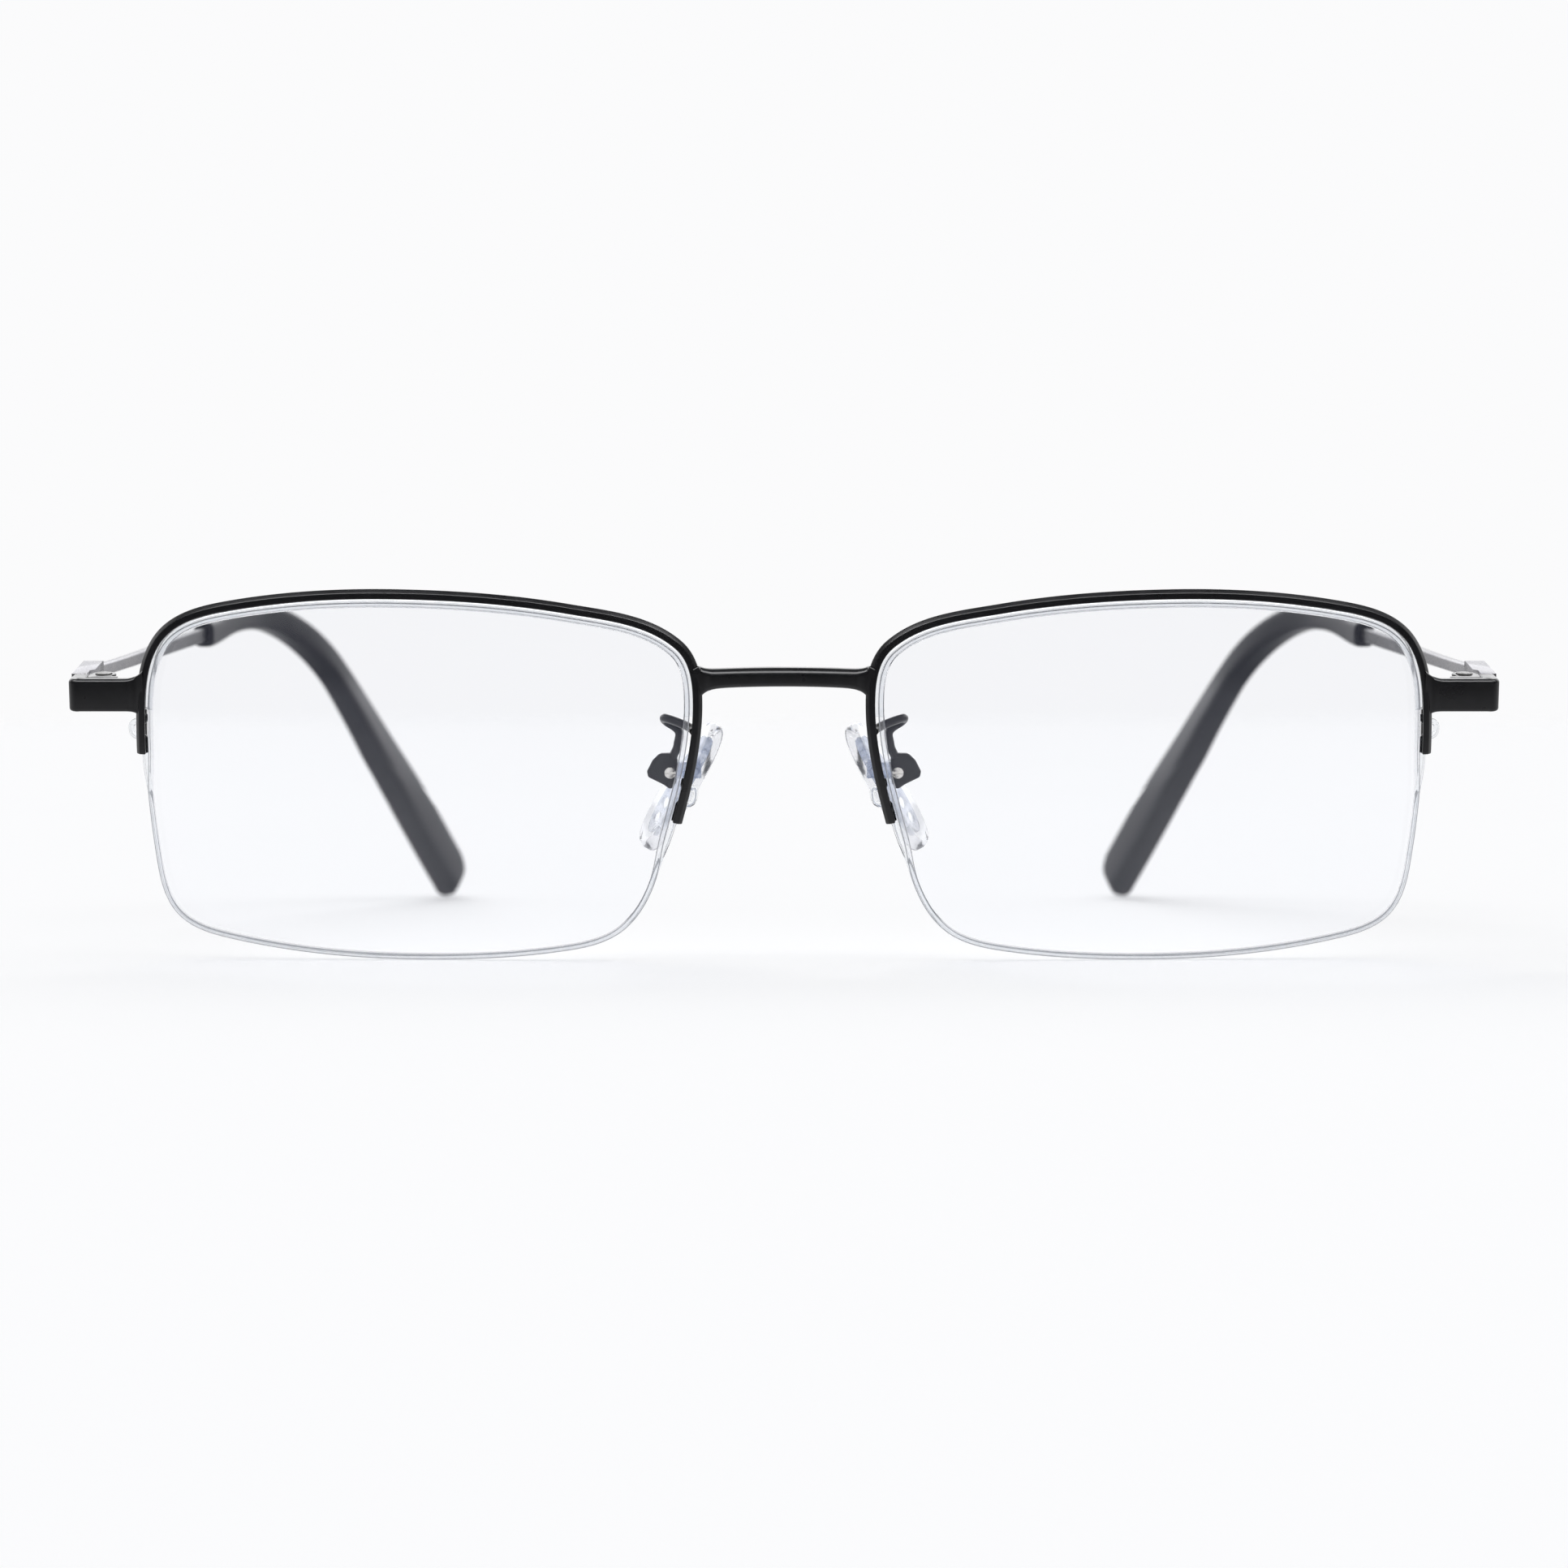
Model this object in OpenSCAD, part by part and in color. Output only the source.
// Half rim eyeglasses with a metal upper rim, nylon cord lens retention,
// screwed nose pads and spring-loaded temple hinges.
// +X is the wearer's left, +Y runs back along the temples, +Z is up.
// The glasses stand on the lower edges of the lenses and on the temple tips,
// so Z = 0 is the surface they rest on. All sizes are in millimetres.

/* [Lenses] */
// Boxed width of one lens
lens_width = 54.2; // [50:0.1:58]
// Boxed height of one lens
lens_height = 36; // [33:0.1:39]
// Distance between the two boxed lenses
lens_distance = 17.8; // [16:0.1:20]
// Lens thickness
lens_t = 1.8; // [1.6:0.1:2.4]
// Radius of the spherical lens curve
base_r = 120; // [110:1:160]
// Width of the groove in the lens edge
groove_width = 0.68; // [0.66:0.01:0.8]
// Depth of the groove in the lens edge
groove_depth = 0.6; // [0.56:0.01:0.7]

/* [Rims] */
// Thickness of the rim seen from the front
rim_t = 0.95; // [0.9:0.05:1.3]
// Depth of the rim from front to back
rim_depth = 1.7; // [1.6:0.05:2.2]
// Depth of the channel inside the rim
rim_channel = 0.5; // [0.45:0.01:0.6]
// Diameter of the nylon cord
cord_d = 0.6; // [0.5:0.01:0.62]

/* [Bridge and end pieces] */
// Height of the bridge bar at its middle
bridge_h = 1.83; // [1.4:0.01:2.4]
// Height of the end pieces and of the hinges
end_h = 3.26; // [3:0.01:3.6]
// Distance from the middle of the front to the outer face of an end piece
end_x = 70.6; // [69.9:0.1:71.5]
// Thickness of the end piece plate
end_t = 1.1; // [1:0.05:1.3]

/* [Nose pads] */
// Length of a nose pad
pad_length = 14.3; // [12.5:0.1:15]
// Width of a nose pad from front to back
pad_width = 7.4; // [6.5:0.1:8]
// Diameter of the pad arm wire
arm_d = 0.86; // [0.8:0.02:1]

/* [Temples] */
// Height of the temple bar at its front end
bar_h = 1.25; // [1.1:0.05:1.6]
// Thickness of the temple bar
bar_t = 1.0; // [0.9:0.05:1.2]
// Height of the plastic tip where it starts
tip_start_h = 2.9; // [2.6:0.1:3.2]
// Height of the plastic tip near its end
tip_end_h = 6; // [5:0.1:6.4]

/* [Stance] */
// Angle by which the front leans forward when the glasses stand on a table
lean = 11; // [10:0.5:12]
// Height of the lens centres above the table
centre_z = 17.37; // [17:0.01:19]
// Distance from the front plane back to the middle of the object
mid_y = 68.6; // [67:0.1:70]

/* [Hidden] */

$fn = 48;
black = [0.06, 0.06, 0.065];
steel = [0.62, 0.62, 0.64];
clear = [0.86, 0.89, 0.93, 0.5];
core_grey = [0.75, 0.76, 0.79];
tip_grey = [0.27, 0.27, 0.29];

lens_x = (lens_width + lens_distance) / 2;  // lens centre from the middle of the front
sphere_x = lens_x - 10;                     // centre of the lens sphere

// ---------------------------------------------------------------- frames --
// Inside in_front(), x is across, y is back and z is up the leaning front,
// measured from the middle between the lenses.
module in_front() {
    translate([0, -mid_y, centre_z]) rotate([lean, 0, 0]) children();
}

// Parts are drawn for the wearer's left; side = -1 mirrors them to the right.
module on_side(side) {
    if (side > 0) children();
    else mirror([1, 0, 0]) children();
}

// ----------------------------------------------------------------- maths --
function unit(v) = v / norm(v);
function mix(a, b, share) = a + (b - a) * share;
function signed_pow(x, power) = sign(x) * pow(abs(x), power);

// Eases from 0 to 1 as x goes from 0 to 1.
function smooth(x) = let (held = max(0, min(1, x))) held * held * (3 - 2 * held);

// Cubic Bezier curve through control points a, b, c, d, and its derivative.
function bezier(a, b, c, d, s) =
    (1-s)*(1-s)*(1-s)*a + 3*s*(1-s)*(1-s)*b + 3*s*s*(1-s)*c + s*s*s*d;
function bezier_slope(a, b, c, d, s) =
    3*(1-s)*(1-s)*(b-a) + 6*s*(1-s)*(c-b) + 3*s*s*(d-c);

// Point between two way points, each [point, direction].
function between(from, to, s) =
    let (a = from[0], d = to[0], handle = norm(d - a) / 3)
    bezier(a, a + handle * unit(from[1]), d - handle * unit(to[1]), d, s);

// Path through way points, with the given steps to each span.
function smooth_path(ways, steps) =
    let (last = len(ways) - 2)
    [for (i = [0 : last]) for (k = [0 : (i < last ? steps - 1 : steps)])
        between(ways[i], ways[i + 1], k / steps)];

// Unit direction of travel at each point of a path.
function tangents(path) = let (last = len(path) - 1)
    [for (i = [0 : last]) unit(path[min(i + 1, last)] - path[max(i - 1, 0)])];

// Normals carried along the directions with as little twist as possible.
function carried(normal, along) = unit(normal - (normal * along) * along);
function normals(along, start) =
    [for (i = 0, normal = carried(start, along[0]);
          i < len(along);
          normal = i < len(along) - 1 ? carried(normal, along[i + 1]) : normal,
          i = i + 1) normal];

// ------------------------------------------------------------ primitives --
// Prism of a front view [x, z], reaching forwards from its origin.
module front_prism(points, origin, depth) {
    translate(origin) rotate([90, 0, 0]) linear_extrude(depth) polygon(points);
}

// Prism of a side view [y, z], reaching from x towards +x.
module side_prism(points, x, depth) {
    translate([x, 0, 0]) rotate([90, 0, 90]) linear_extrude(depth) polygon(points);
}

// Prism of a plan [x, y], reaching up from z.
module plan_prism(points, z, height) {
    translate([0, 0, z]) linear_extrude(height) polygon(points);
}

// Closed skin through rings of equal length, capped at both ends.
module skin(rings) {
    around = len(rings[0]);
    count = len(rings);
    function corner(i, j) = i * around + j % around;
    polyhedron(
        [for (ring = rings) for (point = ring) point],
        concat(
            [[for (j = [0 : around - 1]) j]],
            [for (i = [0 : count - 2]) for (j = [0 : around - 1])
                [corner(i, j), corner(i + 1, j), corner(i + 1, j + 1)]],
            [for (i = [0 : count - 2]) for (j = [0 : around - 1])
                [corner(i, j), corner(i + 1, j + 1), corner(i, j + 1)]],
            [[for (j = [around - 1 : -1 : 0]) corner(count - 1, j)]]));
}

// Round wire along a path; sides is the number of faces round it.
module wire(path, radius, start_normal, sides) {
    along = tangents(path);
    normal = normals(along, start_normal);
    skin([for (i = [0 : len(path) - 1])
        let (binormal = cross(along[i], normal[i]))
        [for (j = [0 : sides - 1]) let (angle = 360 * j / sides)
            path[i] + radius * (cos(angle) * normal[i] + sin(angle) * binormal)]]);
}

// --------------------------------------------------------- lens outline --
// Points round the lens, from the lower outer side over the top to the nose
// and back along the bottom: [outwards, up, direction of travel in degrees].
outline = [
    [26.3, -8.8, 83], [27.1, 4.6, 91], [25.45, 12.9, 123], [18.6, 16.5, 168],
    [2, 18.13, 180], [-15, 16.8, 190], [-25.4, 13.3, 221], [-27.1, 8.2, 269],
    [-24.5, -6, 285], [-20.2, -14.8, 320], [-15, -16.8, 351], [2.2, -17.87, 0],
    [19.2, -16.45, 10], [24.6, -14.0, 51]];
outline_size = [54.2, 36];     // boxed size the points are given for
outline_count = len(outline);

// Bezier control points from outline point i to the next one.
function control_points(i) =
    let (p = outline[i], q = outline[(i + 1) % outline_count],
         bend = ((q[2] - p[2]) % 360 + 360) % 360,
         chord = norm([q[0] - p[0], q[1] - p[1]]),
         handle = chord / (3 * pow(cos(bend / 4), 2)))
    [[p[0], p[1]],
     [p[0] + handle * cos(p[2]), p[1] + handle * sin(p[2])],
     [q[0] - handle * cos(q[2]), q[1] - handle * sin(q[2])],
     [q[0], q[1]]];
controls = [for (i = [0 : outline_count - 1]) control_points(i)];

// A place on the outline, pos, counts the points above and wraps round.
function wrapped(pos) = pos - outline_count * floor(pos / outline_count);
function lens_scaled(p) =
    [p[0] * lens_width / outline_size[0], p[1] * lens_height / outline_size[1]];
function outline_point(pos) =
    let (place = wrapped(pos), i = floor(place), c = controls[i])
    lens_scaled(bezier(c[0], c[1], c[2], c[3], place - i));
function outline_slope(pos) =
    let (place = wrapped(pos), i = floor(place), c = controls[i])
    lens_scaled(bezier_slope(c[0], c[1], c[2], c[3], place - i));

// Point at a distance outside the outline.
function outside(pos, distance) =
    let (along = unit(outline_slope(pos)))
    outline_point(pos) + distance * [along[1], -along[0]];

// Place that lies a length further along the outline.
function ahead(pos, length) =
    let (half_way = pos + 0.5 * length / norm(outline_slope(pos)))
    pos + length / norm(outline_slope(half_way));

rim_outer_end = ahead(1, -2.65);
rim_nose_end = ahead(8, -2.2);
outer_holes = [for (length = [1.7, 3.3]) ahead(rim_outer_end, length)];
nose_holes = [for (length = [-2.0, -3.6]) ahead(rim_nose_end, length)];

// 1 well under the rim and 0 along the bottom. outer and nose hold, for each
// rim end, [shift of the change, its span], both as places on the outline.
function under_rim(pos, outer, nose) =
    let (place = wrapped(pos))
    place < 1.5 ? smooth((place - rim_outer_end + outer[0]) / outer[1])
                : 1 - smooth((place - rim_nose_end - nose[0]) / nose[1]);

// How far the lens edge lies inside the outline: it clears the rim channel
// at the top and follows the outline along the cord.
function lens_gap(pos) = 0.3 * under_rim(pos, [0.35, 0.4], [0.1, 0.5]);
// How far the cord lies inside the outline.
function cord_gap(pos) = mix(0.26, -0.11, under_rim(pos, [0.42, 0.38], [0.02, 0.4]));

// Mid surface of lens and rim: a sphere that bulges forwards.
function sag(out, up) =
    base_r - sqrt(base_r * base_r - pow(lens_x + out - sphere_x, 2) - up * up);
function at_front(pos, distance) =
    let (p = outside(pos, distance)) [lens_x + p[0], sag(p[0], p[1]), p[1]];

// Strip along the outline, between two distances outside it.
function band(start, end, steps, inner, outer) = concat(
    [for (k = [0 : steps]) outside(mix(start, end, k / steps), outer)],
    [for (k = [steps : -1 : 0]) outside(mix(start, end, k / steps), inner)]);

// Front view of a lens part, deep enough to span the whole lens curve.
module lens_prism(points) front_prism(points, [lens_x, 12, 0], 16);

// Spherical layer centred on the mid surface.
module shell(depth) {
    translate([sphere_x, base_r, 0]) difference() {
        sphere(r = base_r + depth / 2, $fn = 360);
        sphere(r = base_r - depth / 2, $fn = 360);
    }
}

// ------------------------------------------------------------------ rims --
hole_clearance = 0.12;         // added to the cord diameter
channel_width = 0.7;
liner_width = 0.6;

module cord_hole(pos) {
    outer_point = at_front(pos, rim_t);
    outward = unit(outer_point - at_front(pos, 0));
    translate(outer_point)
        rotate([0, 0, atan2(outward[1], outward[0])])
        rotate([0, 90 - asin(outward[2]), 0])
        cylinder(d = cord_d + hole_clearance, h = rim_t * 1.4, center = true, $fn = 24);
}

module rim(side) color(black) on_side(side) in_front() {
    difference() {
        difference() {
            intersection() {
                lens_prism(band(rim_outer_end, rim_nose_end, 54, 0, rim_t));
                shell(rim_depth);
            }
            // channel for the liner and the cord
            intersection() {
                lens_prism(band(rim_outer_end - 0.1, rim_nose_end + 0.1, 54,
                                -0.2, rim_channel));
                shell(channel_width);
            }
        }
        for (pos = concat(outer_holes, nose_holes)) cord_hole(pos);
    }
}

module rim_liner(side) color(clear) on_side(side) in_front() {
    intersection() {
        lens_prism(band(1.38, 7.0, 48, -0.82, 0.44));
        shell(liner_width);
    }
}

// ---------------------------------------------------------------- lenses --
lens_places = [for (k = [0 : 83]) outline_count * k / 84];
function lens_line(inset) = [for (pos = lens_places) outside(pos, -lens_gap(pos) - inset)];

module lens(side) color(clear) on_side(side) in_front() {
    difference() {
        intersection() {
            lens_prism(lens_line(0));
            shell(lens_t);
        }
        // groove round the edge
        intersection() {
            difference() {
                lens_prism([for (pos = lens_places) outside(pos, 0.5)]);
                lens_prism(lens_line(groove_depth));
            }
            shell(groove_width);
        }
    }
}

// ------------------------------------------------------------ nylon cord --
// From the rim channel the cord goes out through the first hole, makes a loop
// on the outside and comes back in through the second one. way is the
// direction along the outline from the first hole to the second.
function cord_loop(holes, way) =
    let (first = holes[0],
         second = holes[1],
         inside = -cord_gap(first),
         top = rim_t + 0.42,
         loop_start = ahead(first, way * 0.22),
         loop_end = ahead(second, -way * 0.22))
    concat(
        [at_front(ahead(first, -way * 0.45), inside),
         at_front(ahead(first, -way * 0.2), inside + 0.02)],
        [for (k = [0 : 3]) at_front(first, mix(inside + 0.2, top - 0.25, k / 3))],
        [for (k = [0 : 4]) at_front(mix(loop_start, loop_end, k / 4),
                                    top + 0.02 + 0.1 * sin(180 * k / 4))],
        [for (k = [3 : -1 : 0]) at_front(second, mix(inside + 0.2, top - 0.25, k / 3))],
        [at_front(ahead(second, way * 0.22), inside + 0.02),
         at_front(ahead(second, way * 0.8), inside)]);

module nylon_cord(side) color(clear) on_side(side) in_front() {
    steps = 72;
    start = ahead(nose_holes[0], 0.9);
    end = ahead(outer_holes[0] + outline_count, -0.9);
    under = [for (k = [0 : steps]) let (pos = mix(start, end, k / steps))
        at_front(pos, -cord_gap(pos))];
    nose_loop = cord_loop(nose_holes, -1);
    nose_reversed = [for (i = [len(nose_loop) - 1 : -1 : 0]) nose_loop[i]];
    wire(concat(nose_reversed, under, cord_loop(outer_holes, 1)), cord_d / 2, [0, 1, 0], 8);
}

// ---------------------------------------------------------------- bridge --
bridge_z = 10.55;              // height of the middle of the bridge
bridge_x = lens_x - lens_width / 2 - rim_t + 0.4;   // where it meets the rims

module bridge() color(black) in_front() {
    shares = [for (k = [-12 : 12]) k / 12];
    back_shares = [for (k = [12 : -1 : -12]) k / 12];
    plan_x = bridge_x + 1;
    top = [for (x = shares) [x * bridge_x,
        bridge_z + bridge_h / 2 - 0.33 * x * x + 0.35 * pow(abs(x), 14)]];
    bottom = [for (x = back_shares) [x * bridge_x,
        bridge_z - bridge_h / 2 - 0.4 * x * x - 0.75 * pow(abs(x), 16)]];
    plan = concat([for (x = shares) [x * plan_x, 0.2 + 0.75 * x * x]],
                  [for (x = back_shares) [x * plan_x, 1.75 + 0.6 * x * x]]);
    intersection() {
        front_prism(concat(top, bottom), [0, 6, 0], 12);
        plan_prism(plan, 4, 12);
    }
}

// ------------------------------------------------------------ end pieces --
end_z = 7.82;                  // middle height of end pieces and hinges
end_y = 5.3;                   // front face of the plate
end_back_y = end_y + end_t;    // back face of the plate
butt_y = 8.36;                 // face the temple closes on
return_x = end_x - 1.6;        // inner face of the part that turns back
corner_r = 0.8;
rim_x = lens_x + lens_width / 2 + rim_t - 0.15;     // where it meets the rim

module endpiece(side) color(black) on_side(side) in_front() {
    half = end_h / 2;
    corner = [for (k = [0 : 8]) let (angle = 90 * k / 8)
        [end_x - corner_r + corner_r * sin(angle), end_y + corner_r - corner_r * cos(angle)]];
    plan = concat(
        [[rim_x - 0.1, end_y + 0.05]],
        corner,
        [[end_x, butt_y], [return_x, butt_y],
         [return_x, end_back_y], [rim_x - 0.1, end_back_y]]);
    // front view, flared where it meets the rim
    front = [
        [rim_x - 0.05, -half - 0.95], [rim_x + 0.22, -half - 0.4],
        [rim_x + 0.55, -half - 0.1], [rim_x + 0.95, -half + 0.02],
        [end_x - 1.2, -half], [end_x - 0.35, -half + 0.12], [end_x, -half + 0.4],
        [end_x, half - 0.4], [end_x - 0.35, half - 0.1], [end_x - 1.2, half],
        [rim_x + 1.2, half], [rim_x + 0.5, half + 0.15],
        [rim_x + 0.15, half + 0.45], [rim_x - 0.05, half + 0.8]];
    intersection() {
        plan_prism(plan, end_z - 4, 8);
        front_prism(front, [0, 12, end_z], 12);
    }
}

// ---------------------------------------------------------------- hinges --
pin_x = 67.5;                  // hinge axis, across
pin_y = 8.45;                  // hinge axis, back
pin_r = 0.5;
pin_clearance = 0.04;
eye_h = end_h / 3 + 0.02;      // height of the eye between the knuckles
eye_r = 1.15;
eye_gap = 0.03;                // between the eye and each knuckle
eye_bottom = end_z - eye_h / 2;
knuckle_r = 1.22;
knuckle_h = end_h / 2 - eye_h / 2 - eye_gap;
foot_width = 3.1;              // plate of the front hinge on the end piece
head_r = 0.78;                 // head of the hinge screw

module pin_axis() {
    translate([pin_x, pin_y, end_z]) children();
}

module front_hinge(side) color(black) on_side(side) in_front() difference() {
    union() {
        for (bottom = [-end_h / 2, eye_h / 2 + eye_gap])
            pin_axis() translate([0, 0, bottom]) {
                cylinder(r = knuckle_r, h = knuckle_h);
                translate([-0.95, -1.95, 0]) cube([2.33, 1.95, knuckle_h]);
            }
        translate([return_x - foot_width, end_back_y - 0.02, end_z - end_h / 2])
            cube([foot_width, 0.82, end_h]);
    }
    pin_axis() translate([0, 0, -end_h]) cylinder(r = pin_r + pin_clearance, h = 2 * end_h);
    // recess for the screw head
    pin_axis() translate([0, 0, end_h / 2 - 0.36]) cylinder(r = head_r + 0.06, h = 1);
}

module hinge_screw(side) color(steel) on_side(side) in_front() pin_axis() difference() {
    union() {
        translate([0, 0, -end_h / 2 - 0.1]) cylinder(r = pin_r, h = end_h);
        translate([0, 0, end_h / 2 - 0.34]) cylinder(r = head_r, h = 0.42);
    }
    translate([-1, -0.11, end_h / 2 - 0.14]) cube([2, 0.22, 1]);
}

housing_in_x = 68.75;          // inner face of the spring housing
housing_out_x = end_x + 0.1;   // outer face of the spring housing
housing_back_y = 16.0;         // rear end of the spring housing
lip_x = 69.2;                  // inner face of the lip that closes on the end piece
clear_x = 60;                  // well inside the hinge, where through cuts start
tongue_x = 68.15;              // inner face of the tongue
rod_x = 69.72;                 // axis of the spring rod, across
rod_z = 7.8;                   // axis of the spring rod, up

module along_rod(y) {
    translate([rod_x, y, rod_z]) rotate([-90, 0, 0]) children();
}

// Short ring round the spring rod, from y backwards.
module rod_ring(y, radius, bore_r) along_rod(y) difference() {
    cylinder(r = radius, h = 0.55);
    translate([0, 0, -1]) cylinder(r = bore_r, h = 3);
}

module hinge_tongue(side) color(steel) on_side(side) in_front() difference() {
    union() {
        pin_axis() translate([0, 0, -eye_h / 2]) cylinder(r = eye_r, h = eye_h);
        // the outer front corner stays back so that the end piece is clear of it in outward flex
        translate([tongue_x, pin_y, eye_bottom]) cube([0.65, 2.85, eye_h]);
        translate([tongue_x, pin_y + 0.45, eye_bottom]) cube([0.95, 2.4, eye_h]);
        translate([tongue_x, 10.8, eye_bottom]) cube([2.0, 0.5, eye_h]);
        along_rod(11.2) cylinder(r = 0.32, h = 3.9);
    }
    pin_axis() cylinder(r = pin_r + pin_clearance, h = 4, center = true);
}

module spring_stop(side) color(steel) on_side(side) in_front() rod_ring(11.5, 0.64, 0.36);

module spring_nut(side) color(steel) on_side(side) in_front() rod_ring(14.4, 0.54, 0.31);

module hinge_spring(side) color(steel) on_side(side) in_front() {
    coil_r = 0.46;
    coil_length = 2.05;
    turn_steps = 14;
    steps = 6 * turn_steps;
    wire([for (k = [0 : steps]) let (angle = 360 * k / turn_steps)
             [rod_x + coil_r * cos(angle),
              12.2 + coil_length * k / steps,
              rod_z + coil_r * sin(angle)]],
         0.09, [0, 1, 0], 6);
}

module hinge_housing(side) color(steel) on_side(side) in_front() difference() {
    bottom = end_z - end_h / 2;
    top = end_z + end_h / 2;
    slot_h = eye_h + 0.12;
    slot_bottom = eye_bottom - 0.06;
    // plan: a lip at the front, a shoulder, then the full width
    plan = [
        [lip_x, butt_y + 0.09], [housing_out_x, butt_y + 0.09],
        [housing_out_x, housing_back_y - 0.35], [housing_out_x - 0.35, housing_back_y],
        [housing_in_x, housing_back_y], [housing_in_x, 11.0],
        [housing_in_x + 0.15, 10.62], [lip_x, 10.3]];
    side_view = [
        [butt_y, bottom], [14.6, bottom], [15.5, bottom + 0.35],
        [housing_back_y, bottom + 1.1], [housing_back_y, top - 0.12],
        [housing_back_y - 0.35, top], [butt_y, top]];
    intersection() {
        plan_prism(plan, end_z - 3, 6);
        side_prism(side_view, clear_x, 12);
    }
    // bore for the spring and pocket for the tongue
    along_rod(9.8) cylinder(r = 0.66, h = 5.5);
    translate([tongue_x - 0.07, 9.9, slot_bottom]) cube([2.14, 1.48, slot_h]);
    translate([clear_x, 8, slot_bottom]) cube([lip_x - clear_x - 0.02, 3.3, slot_h]);
}

// --------------------------------------------------------------- temples --
// Way points of the temple's centre line: [[x, y, z], direction],
// with y measured back from the front plane and z up from the table.
temple_ways = [
    [[69.4, 13.85, 28.65], [-0.04, 1, 0.066]],
    [[66.8, 72, 33.3], [-0.06, 1, 0.08]],
    [[64.6, 101, 36.0], [-0.26, 1, 0.02]],
    [[56.8, 119, 28.8], [-0.50, 0.78, -0.92]],
    [[50.55, 128.5, 16.4], [-0.49, 0.60, -0.92]],
    [[43.35, 138.8, 1.88], [-0.45, 0.52, -0.86]]];
placed_ways = [for (way = temple_ways) [way[0] - [0, mid_y, 0], way[1]]];
function on_temple(span, s) = between(placed_ways[span], placed_ways[span + 1], s);

// Part of the bar's centre line that lies inside the plastic tip.
core_path = concat(
    [for (k = [0 : 5]) on_temple(1, k / 6)],
    [for (k = [0 : 7]) on_temple(2, k / 8)],
    [for (k = [0 : 4]) on_temple(3, k / 5)]);
core_h = 1.3;
core_t = 0.9;
bar_growth = 0.35;             // height the bar gains before the tip
core_clearance = 0.05;

// Sideways and upward unit vectors of a section across a direction.
function section_axes(along) =
    let (up = unit([0, -along[2], along[1]])) [cross(up, along), up];

// Rectangular bar along the temple, enlarged all round by a clearance.
module bar_shape(path, clearance) {
    along = tangents(path);
    skin([for (i = [0 : len(path) - 1])
        let (y = path[i][1] + mid_y,
             to_core = smooth((y - 80) / 30),
             grown_h = bar_h + bar_growth * smooth((y - 20) / 50),
             half_t = mix(bar_t, core_t, to_core) / 2 + clearance,
             half_h = mix(grown_h, core_h, to_core) / 2 + clearance,
             axes = section_axes(along[i]))
        [for (corner = [[1, 1], [-1, 1], [-1, -1], [1, -1]])
            path[i] + corner[0] * half_t * axes[0] + corner[1] * half_h * axes[1]]]);
}

module temple_bar(side) color(steel) on_side(side)
    bar_shape(concat([for (k = [0 : 3]) on_temple(0, k / 4)], core_path), 0);

// Rounded rectangle across the path, turned by a twist and with its middle
// shifted down towards its lower edge.
function tip_section(point, along, half_t, half_h, twist, lowered) =
    let (axes = section_axes(along),
         across = cos(twist) * axes[0] - sin(twist) * axes[1],
         up = cos(twist) * axes[1] + sin(twist) * axes[0])
    [for (j = [0 : 19]) let (angle = 360 * j / 20)
        point + half_t * signed_pow(cos(angle), 0.52) * across
              + (half_h * signed_pow(sin(angle), 0.52) - lowered) * up];

// Stations of the tip: [span of the temple, share of the span].
tip_stations = concat(
    [for (k = [0 : 7]) [1, k / 8]],
    [for (k = [0 : 9]) [2, k / 10]],
    [for (k = [0 : 3]) [3, k / 4]],
    [for (k = [0 : 3]) [4, k / 5]],
    [for (share = [0.8, 0.85, 0.9, 0.945, 0.98, 1]) [4, share]]);
tip_span = 16.7;               // length of one span, for the rounding of the end
round_h = 2.6;                 // length over which the height rounds off
round_t = 0.9;                 // length over which the thickness rounds off

module temple_tip(side) color(tip_grey) on_side(side) {
    path = [for (station = tip_stations) on_temple(station[0], station[1])];
    along = tangents(path);
    difference() {
        skin([for (i = [0 : len(path) - 1])
            let (s = tip_stations[i][0] - 1 + tip_stations[i][1],
                 widening = smooth((s - 0.6) / 2.6),
                 to_end = tip_span * (4 - s),
                 h_share = to_end > round_h ? 1
                     : 0.4 + 0.6 * sqrt(1 - pow(1 - to_end / round_h, 2)),
                 t_share = to_end > round_t ? 1 : 1 - 0.4 * pow(1 - to_end / round_t, 2),
                 half_h = mix(tip_start_h / 2, tip_end_h / 2, widening))
            tip_section(path[i], along[i],
                        half_t = mix(1.2, 1.75, widening) * t_share,
                        half_h = half_h * h_share,
                        twist = 15 * smooth((s - 2.2) / 1.5),
                        lowered = half_h * (1 - h_share))]);
        // slot for the metal core
        bar_shape(concat([placed_ways[1][0] - [0, 0.5, 0.0375]], core_path,
                         [on_temple(3, 0.87)]),
                  core_clearance);
    }
}

// -------------------------------------------------------------- nose pads --
pad_centre = [10.3, 10.0, -2.2];
pad_tilt = 31;                 // lean of the pad towards the nose, front view
pad_splay = 12;                // opening of the pads towards the back
screw_centre = [11.35, 7.75, -0.1];
screw_r = 0.34;
box_wall = 0.45;               // thickness of the box plates
box_gap = 0.06;                // between the tab and each plate
tab_t = 1.1;
tab_h = 1.6;
tab_x = 8.3;                   // where the tab starts inside the pad

module in_pad() {
    translate(pad_centre) rotate([0, -pad_tilt, 0]) rotate([0, 0, -pad_splay]) children();
}

// Frame of the pad screw, with z pointing forwards.
module along_screw() {
    translate(screw_centre) rotate([90, 0, 0]) children();
}

// Pad outline: rounded, wider at the bottom.
function pad_line(inset) = [for (k = [0 : 35]) let (up = sin(10 * k))
    [(pad_width / 2 - inset) * signed_pow(cos(10 * k), 0.8) * (1 - 0.10 * up),
     (pad_length / 2 - inset) * signed_pow(up, 0.92)]];

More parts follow.
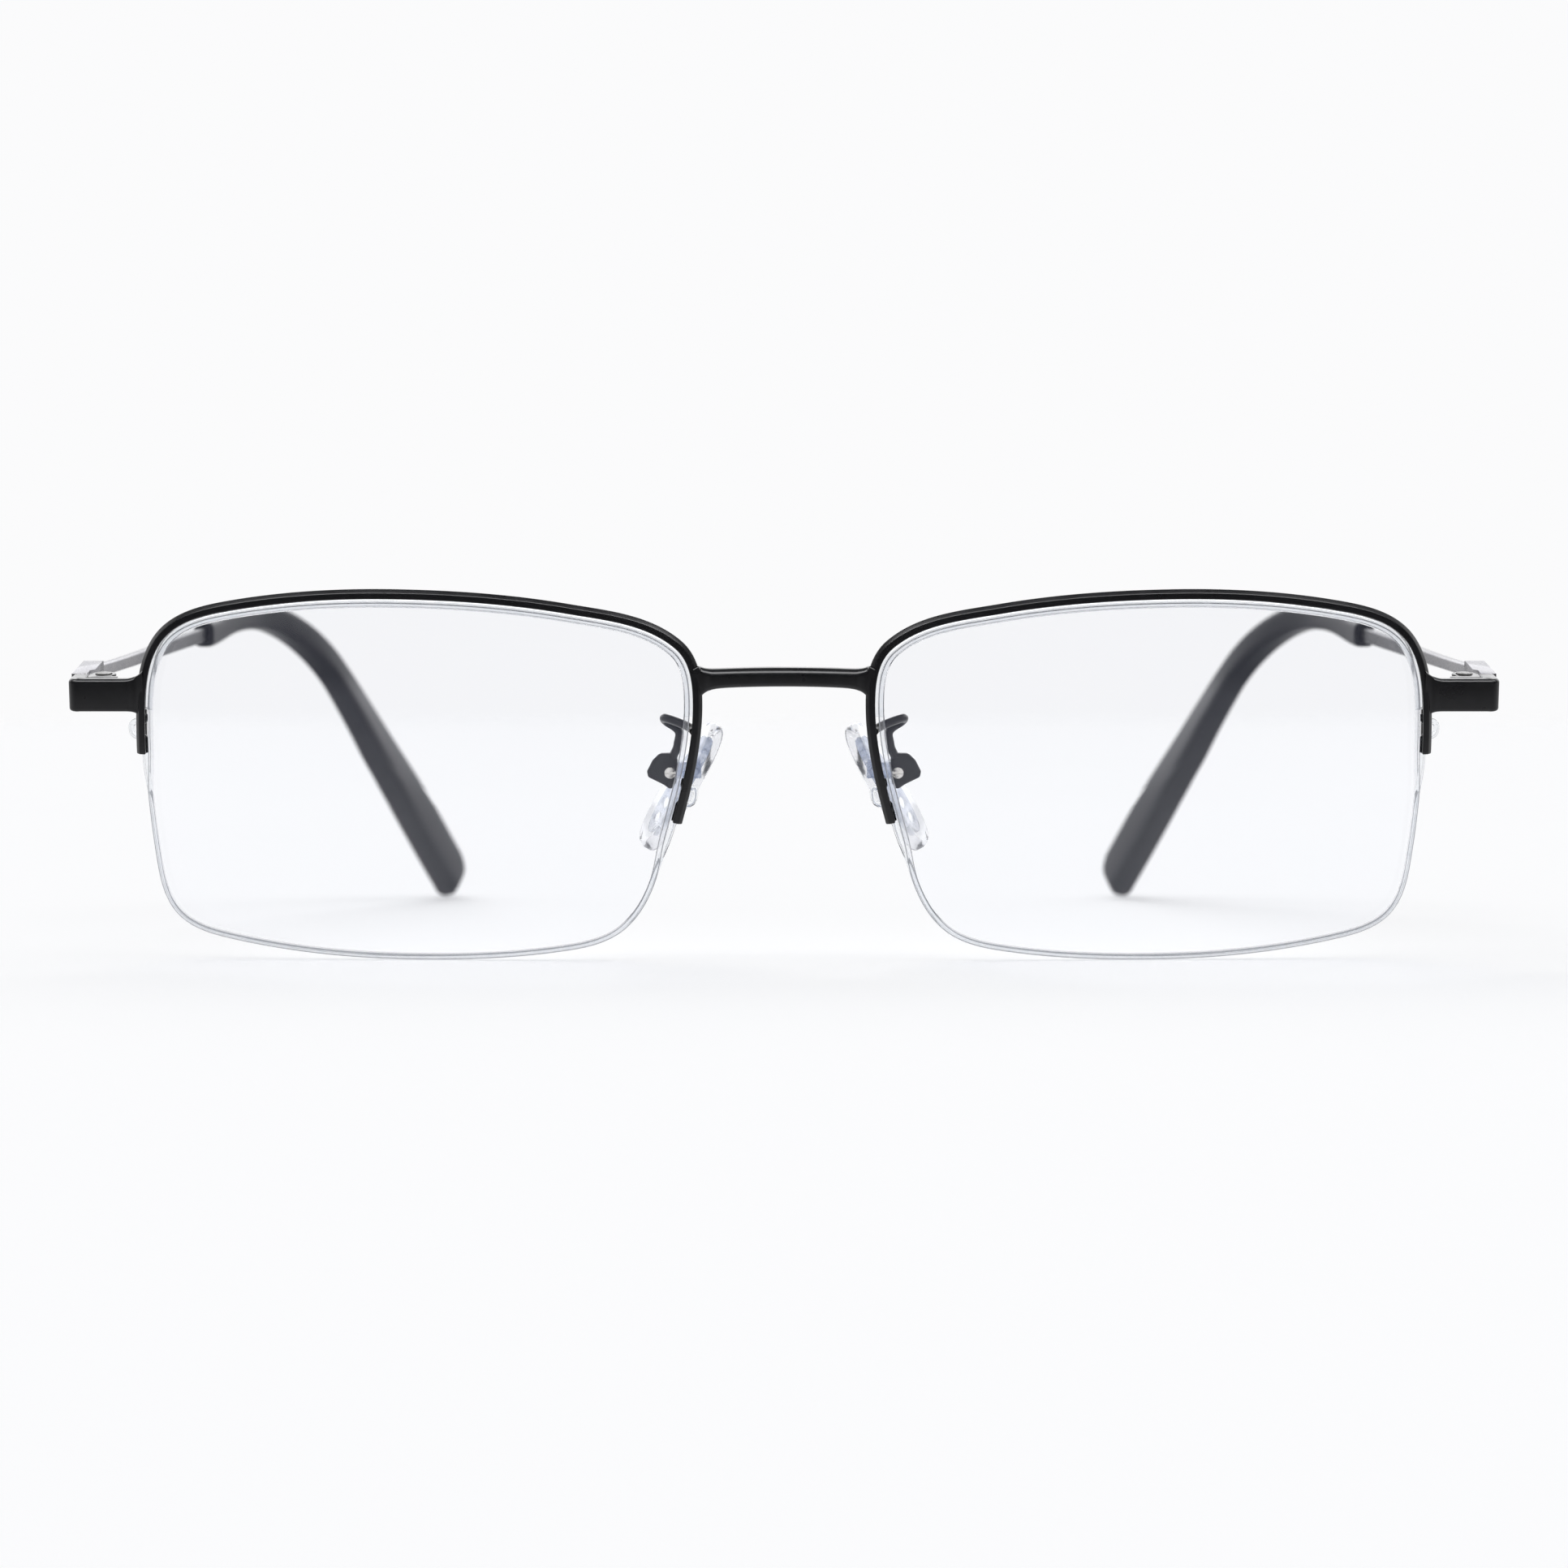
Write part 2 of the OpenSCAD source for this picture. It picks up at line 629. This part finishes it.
module pad_layer(x, thickness, inset) side_prism(pad_line(inset), x, thickness);

// Plate inside the pad and the tab that leads to the screw, grown by a clearance.
module pad_core_shape(grow) {
    in_pad() pad_layer(-0.3 - grow, 0.6 + 2 * grow, 1.6 - grow);
    translate([tab_x, screw_centre[1] - tab_t / 2 - grow, screw_centre[2] - tab_h / 2 - grow])
        cube([screw_centre[0] - tab_x, tab_t + 2 * grow, tab_h + 2 * grow]);
}

module nose_pad(side) color(clear) on_side(side) in_front() difference() {
    in_pad() union() {
        pad_layer(-0.95, 0.95, 0.45);
        pad_layer(-0.6, 1.2, 0);
        pad_layer(0, 0.95, 0.5);
    }
    pad_core_shape(0.03);
}

module pad_core(side) color(core_grey) on_side(side) in_front() difference() {
    union() {
        pad_core_shape(0);
        along_screw() cylinder(r = tab_h / 2, h = tab_t, center = true);
    }
    along_screw() cylinder(r = screw_r + 0.05, h = 4, center = true);
}

module pad_screw(side) color(steel) on_side(side) in_front() along_screw() difference() {
    box_front = tab_t / 2 + box_wall;
    union() {
        translate([0, 0, -box_front - 0.15]) cylinder(r = screw_r, h = 2 * box_front + 0.3);
        translate([0, 0, box_front + 0.06]) cylinder(r = 0.56, h = 0.3);
    }
    translate([-1, -0.09, box_front + 0.24]) cube([2, 0.18, 1]);
}

// Box plate outline, front view, relative to the pad screw: [out, up].
plate = [
    [-0.65, -1.1], [-0.75, 1.35], [-0.2, 1.9], [1.1, 1.85], [1.75, 1.2],
    [2.3, 0.1], [2.2, -0.5], [0.7, -1.25], [-0.05, -1.8]];

// Way points of the arm wire, from the back of the rim round the loop and
// down to the box: [[x, y, z], direction].
arm_ways = [
    [[8.82, 1.9, 4.9], [0.1, 1, 0.1]],
    [[11.75, 5.6, 5.6], [0.6, 0.8, 0]],
    [[11.6, 6.75, 4.95], [-0.75, 0.3, -0.6]],
    [[10.5, 7.0, 4.0], [-0.45, 0, -0.9]],
    [[10.6, 7.05, 2.6], [0.1, 0, -1]],
    [[11.1, 7.0, 1.3], [0.2, 0, -1]]];

// Plate of the box, its back face at back_y from the screw's middle.
module box_plate(points, back_y) front_prism(points, screw_centre + [0, back_y, 0], box_wall);

module pad_arm(side) color(black) on_side(side) in_front() {
    plate_y = tab_t / 2 + box_gap;
    difference() {
        union() {
            box_plate(plate, -plate_y);
            box_plate([for (p = plate) [p[0] * 0.9, p[1] * 0.85]], plate_y + box_wall);
            // side wall that joins the two plates
            translate(screw_centre + [1.15, -tab_t / 2 - 0.3, -0.6])
                cube([0.5, tab_t + 0.6, 1.6]);
        }
        along_screw() cylinder(r = screw_r + 0.02, h = 6, center = true);
    }
    wire(smooth_path(arm_ways, 6), arm_d / 2, [0, 0, 1], 10);
}

rim(-1);  // right_rim
rim(1);  // left_rim
rim_liner(-1);  // right_rim_liner
rim_liner(1);  // left_rim_liner
lens(-1);  // right_lens
lens(1);  // left_lens
nylon_cord(-1);  // right_nylon_cord
nylon_cord(1);  // left_nylon_cord
bridge();
endpiece(-1);  // right_endpiece
endpiece(1);  // left_endpiece
front_hinge(-1);  // right_front_hinge
front_hinge(1);  // left_front_hinge
pad_arm(-1);  // right_pad_arm
pad_arm(1);  // left_pad_arm
pad_screw(-1);  // right_pad_screw
pad_screw(1);  // left_pad_screw
nose_pad(-1);  // right_nose_pad
nose_pad(1);  // left_nose_pad
pad_core(-1);  // right_pad_core
pad_core(1);  // left_pad_core
hinge_screw(-1);  // right_hinge_screw
hinge_screw(1);  // left_hinge_screw
hinge_tongue(-1);  // right_hinge_tongue
hinge_tongue(1);  // left_hinge_tongue
hinge_spring(-1);  // right_hinge_spring
hinge_spring(1);  // left_hinge_spring
spring_nut(-1);  // right_spring_nut
spring_nut(1);  // left_spring_nut
spring_stop(-1);  // right_spring_stop
spring_stop(1);  // left_spring_stop
hinge_housing(-1);  // right_hinge_housing
hinge_housing(1);  // left_hinge_housing
temple_bar(-1);  // right_temple_bar
temple_bar(1);  // left_temple_bar
temple_tip(-1);  // right_temple_tip
temple_tip(1);  // left_temple_tip
